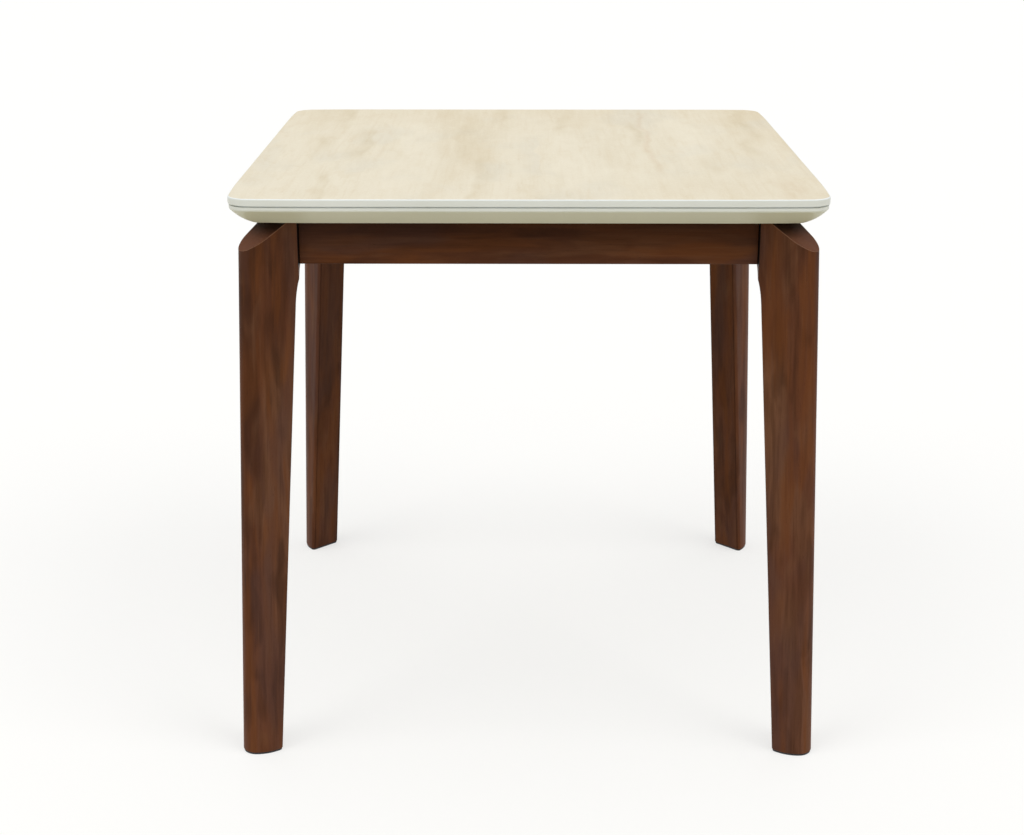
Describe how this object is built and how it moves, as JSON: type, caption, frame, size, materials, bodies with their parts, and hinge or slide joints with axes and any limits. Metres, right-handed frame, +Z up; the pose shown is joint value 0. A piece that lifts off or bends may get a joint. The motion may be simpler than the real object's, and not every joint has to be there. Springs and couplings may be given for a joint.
{
  "type": "dining table",
  "caption": "Small square dining table with a fixed stone-look top, a bevelled edge with a shadow gap, set-back aprons and splayed wooden legs with bowed outer faces.",
  "frame": {"origin": "on the floor under the middle of the table top", "axes": "+Z up, +X to the right and +Y to the back as seen in the picture; the table looks alike from all four sides"},
  "size_m": [0.7706, 0.7706, 0.757],
  "materials": {
    "stone_look_top": "matt printed stone-look laminate",
    "lacquered_edge": "off-white satin lacquer on fibreboard",
    "plain_wood": "plain planed softwood",
    "stained_wood": "reddish walnut stain under satin lacquer",
    "zinc_steel": "bright zinc plate",
    "glide": "black moulded plastic"
  },
  "bodies": {
    "root": {"top_laminate": "stone_look_top", "top_board": "lacquered_edge", "edge_frame_front": "lacquered_edge", "edge_frame_right": "lacquered_edge", "edge_frame_back": "lacquered_edge", "edge_frame_left": "lacquered_edge", "batten_left": "plain_wood", "batten_right": "plain_wood", "leg_front_left": "stained_wood", "leg_front_right": "stained_wood", "leg_back_right": "stained_wood", "leg_back_left": "stained_wood", "apron_front": "stained_wood", "apron_right": "stained_wood", "apron_back": "stained_wood", "apron_left": "stained_wood", "glide_front_left": "glide", "glide_front_right": "glide", "glide_back_right": "glide", "glide_back_left": "glide", "corner_bracket_front_left": "zinc_steel", "corner_bracket_front_right": "zinc_steel", "corner_bracket_back_right": "zinc_steel", "corner_bracket_back_left": "zinc_steel", "hanger_bolts": "zinc_steel", "hanger_washers": "zinc_steel", "hanger_nuts": "zinc_steel", "bracket_screws": "zinc_steel", "top_angles": "zinc_steel", "apron_screws": "zinc_steel", "top_screws": "zinc_steel"}
  },
  "joints": []
}
